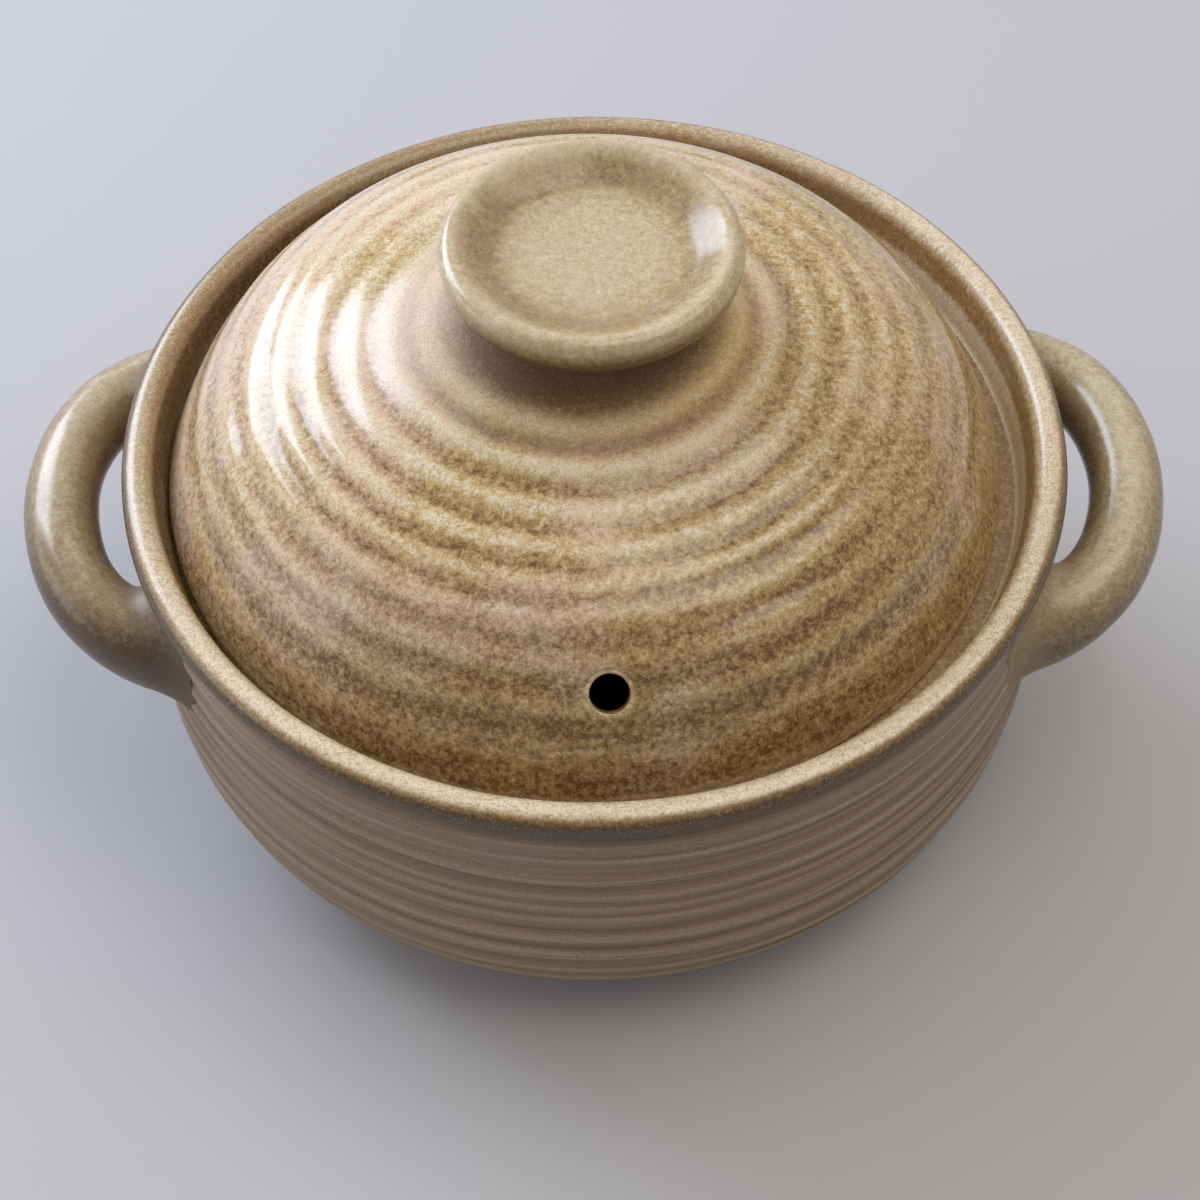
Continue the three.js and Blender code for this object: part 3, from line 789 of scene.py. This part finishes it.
outer = bend(EDGE, (97.98, 122.09), (88.64, 134.48), SHOULDER, 1)
outer += bend(SHOULDER, (46.98, 143.64), (35.14, 147.84), CROWN, 1)[1:]
under = []
for before, here, after in list(zip(outer, outer[1:], outer[2:]))[::3]:
    along = (Vector(after) - Vector(before)).normalized()
    spot = Vector(here) - LID_THICKNESS * Vector((along.y, -along.x))
    if spot.y < CEILING:
        under.append(tuple(spot))
under.reverse()
inner_edge = under[-1][0]
outline = [(0, CEILING), (12, CEILING)] + under
outline += [(inner_edge, 95)] + arc((inner_edge + 1, SEAT + 1), 1, 180, 270)
outline += arc((EDGE[0] - EDGE_ROUND, SEAT + EDGE_ROUND), EDGE_ROUND, 270, 360) + [(EDGE[0], 95)]
outline += outer + [(20, CROWN[1]), (8, CROWN[1]), (0, CROWN[1])]
shell = turned(outline)
print("lid outline has", len(outline), "points")

# %% [markdown]
# The steam vent is bored through the front of the lid. The cutter flares at both ends, so that the hole
# gets the soft edges of a finger-smoothed bore. It stands a little more upright than the dome's own slope
# asks for, so that the hole looks nearly round from above.

# %% Vent cutter
VENT = Vector((3.26 - LID_SHIFT, -95.33, 121.43))
VENT_AXIS = Vector((0.047, -0.71, 0.70)).normalized()
VENT_RADIUS = 4.75
VENT_SOFT = 0.8
CUTTER_REACH = 12
CUTTER_WIDTH = VENT_RADIUS + VENT_SOFT + 0.6

half_depth = LID_THICKNESS / 2
side = arc((VENT_RADIUS + VENT_SOFT, half_depth - VENT_SOFT), VENT_SOFT, 180, 90, 0.2)
upper = [(0, CUTTER_REACH), (CUTTER_WIDTH, CUTTER_REACH), (CUTTER_WIDTH, half_depth)] + side[::-1]
cutter = turned(upper + [(radius, -height) for radius, height in upper[::-1]])
middle = (VENT - VENT_AXIS * half_depth) * MM
to_vent = Matrix.Translation(middle) @ VENT_AXIS.to_track_quat("Z", "Y").to_matrix().to_4x4()
bmesh.ops.transform(cutter, matrix=to_vent, verts=cutter.verts)
print("vent is", 2 * VENT_RADIUS, "mm wide")


# %% Bored lid
def as_object(name, bm):
    """A plain object for a cut."""
    mesh = bpy.data.meshes.new(name)
    bm.to_mesh(mesh)
    bm.free()
    made = bpy.data.objects.new(name, mesh)
    bpy.context.collection.objects.link(made)
    return made


blank, bore = as_object("lid_blank", shell), as_object("vent_bore", cutter)
cut = blank.modifiers.new("vent", "BOOLEAN")
cut.operation = "DIFFERENCE"
cut.object = bore
cut.solver = "EXACT"
bored = bpy.data.meshes.new_from_object(blank.evaluated_get(bpy.context.evaluated_depsgraph_get()))
lid = bmesh.new()
lid.from_mesh(bored)
for spare in (blank, bore):
    bpy.data.objects.remove(spare)
print("bored lid has", len(lid.faces), "faces")

# %% [markdown]
# The lid's rings are strongest halfway up and fade towards the edge and round the vent. The glaze follows
# them, less so at the back on the right, where it lies evenly, and it pools towards the edge. At the back on
# the left the lid is painted paler, as painted sheen. At the front it is painted darker, as painted shade,
# and under the knob, where it is also matt, it is darkest, as glaze pooled round the knob's foot and a
# painted shadow that is strongest at the front. Round the vent it draws back from the edge of the hole in a
# thin pale ring.

# %% Rings of the lid
LID_RIDGES = [38.1, 47, 57.2, 67.4, 75.8, 83.1, 90.9, 97.4, 103.2]
LID_RING_DEPTH = 0.45


def lid_lift(place, radius):
    """How far the throwing rings lift the lid, as a share of the ring depth."""
    at = radius + 1.1 * sway(place, 55, 13)
    lift = ring_height(at, LID_RIDGES) * (0.8 + 0.7 * sway(place, 50, 17))
    return lift * float(np.interp(radius, [40, 55, 72, 86, 105], [0.9, 1, 1, 0.6, 0.5]))


def lid_crest_and_light(lift, radius, east, north):
    """How thin the glaze lies on the lid, by the ring and the distance from the axis, with painted sheen at
    the back on the left and painted shade at the front and under the knob.
    """
    front = max(0, -north)
    even = 1 - 0.45 * max(0, 0.8 * east + 0.6 * north)
    coat_and_light = even * (0.9 * lift - 0.6 * max(0, (radius - 75) / 30))
    # Painted sheen: paler at the back on the left.
    coat_and_light += 0.3 * max(0, 0.6 * north - 0.8 * east)
    # Painted shade: darker at the front.
    coat_and_light -= 0.3 * front * ramp(radius, 62, 74)
    # Under the knob: pooled glaze and a painted shadow, strongest at the front.
    return coat_and_light - (1.2 + 1.2 * front) * max(0, (44 - radius) / 15) ** 1.5


print("the lid has", len(LID_RIDGES), "rings")

# %% Glaze and rings on the lid
VENT_RING = 5.3
VENT_RING_HALF = 1.2
CALM_FROM, CALM_TO = 5.4, 14.4
KNOB_SEAT = 27.2

lid.normal_update()
draw_round(lid)
crest_and_light = lid.verts.layers.float.new("crest_and_light")
matt = lid.verts.layers.float.new("matt")
for v in lid.verts:
    radius, height = math.hypot(v.co.x, v.co.y) / MM, v.co.z / MM
    if v.normal.z > 0.1 and radius > KNOB_SEAT and height > EDGE[1]:
        lift = lid_lift(v.co, radius)
        vent_gap = (v.co / MM - VENT).length
        v[crest_and_light] = lid_crest_and_light(lift, radius, v.co.x / (radius * MM), v.co.y / (radius * MM))
        v[crest_and_light] += 1.2 * ramp(abs(vent_gap - VENT_RING), VENT_RING_HALF, 0)
        v[matt] = float(np.interp(radius, [30, 40, 46, 53], [0.55, 0.5, 0.3, 0]))
        v.co += v.normal * LID_RING_DEPTH * MM * lift * ramp(vent_gap, CALM_FROM, CALM_TO)
crests = [v[crest_and_light] for v in lid.verts]
print("crest on the lid runs from", round(min(crests), 2), "to", round(max(crests), 2))

# %% Place and finishes of the lid
WIPED_EDGE = SEAT + 0.4

bmesh.ops.translate(lid, vec=(LID_SHIFT * MM, 0, 0), verts=lid.verts)
for face in lid.faces:
    face.material_index = int(face.calc_center_median().z < WIPED_EDGE * MM)
show("lid_shell_thrown", lid, "lid", "lid_shell", "tan_glaze", lid_glaze, bare_clay)

# %% [markdown]
# ## Knob
# The knob is a shallow dish on a short waist. Turned over, it serves as a foot for the lid. It stands over
# the middle of the pot. Its edge is a thin round lip on a full underside, with pale glaze on top, a darker
# slope inside, partly pooled glaze and partly painted shade, and the darkest colour under the dish, as
# painted shade.

# %% Knob outline
KNOB_RADIUS = 36.7
KNOB_TOP = 174
KNOB_BOTTOM = 157.3
LIP_RADIUS = 3.2
UNDERSIDE_RADIUS = 11
DISH = (21, 169.5)

widest = KNOB_TOP - LIP_RADIUS
underside = arc((KNOB_RADIUS - UNDERSIDE_RADIUS, widest), UNDERSIDE_RADIUS, -79, 0)
lip = arc((KNOB_RADIUS - LIP_RADIUS, widest), LIP_RADIUS, 0, 115, 0.4)
waist = bend((27.2, 156.7), (24.2, 158), (24, underside[0][1] - 0.8), underside[0], 0.5)
lip_end, dish_end = Vector(lip[-1]), Vector(DISH)
slope = dish_end - lip_end
dish = bend(lip_end, lip_end + 0.35 * slope, dish_end - Vector((0.35 * slope.x, 0)), dish_end, 0.8)
outline = [(0, KNOB_BOTTOM), (14, KNOB_BOTTOM)] + waist[:-1] + underside + lip[1:] + dish[1:]
outline += [(15, DISH[1] - 0.1), (7, DISH[1] - 0.2), (0, DISH[1] - 0.2)]
knob = turned(outline)
print("knob outline has", len(outline), "points")

# %% Glaze and turning lines on the knob
DISH_RADII = [14, 20, 24, 29, 33, 36.7]
DISH_CRESTS_AND_SHADE = [0.75, 0.55, -0.5, -0.4, 0.8, 0.4]
UNDER_HEIGHTS = [157, 163, 168, 171]
UNDER_SHADES = [-2.4, -2, -1.5, 0.1]
LINE_SPACING = 2.6
LINE_DEPTH = 0.02
KNOB_SWAY = 0.25

draw_round(knob)
crest_and_light = knob.verts.layers.float.new("crest_and_light")
for v in knob.verts:
    radius, height = math.hypot(v.co.x, v.co.y) / MM, v.co.z / MM
    if v.normal.z > 0.2:
        # Darker on the slope inside the dish: pooled glaze and painted shade.
        v[crest_and_light] = float(np.interp(radius, DISH_RADII, DISH_CRESTS_AND_SHADE))
    else:
        # Painted shade: darkest under the dish.
        v[crest_and_light] = float(np.interp(height, UNDER_HEIGHTS, UNDER_SHADES))
    line = math.sin(math.tau * radius / LINE_SPACING) * ramp(radius, 18, 24)
    v.co += v.normal * MM * (KNOB_SWAY * sway(v.co, 30, 23) + LINE_DEPTH * line)
show("lid_knob_thrown", knob, "lid", "lid_knob", "tan_glaze", knob_glaze)
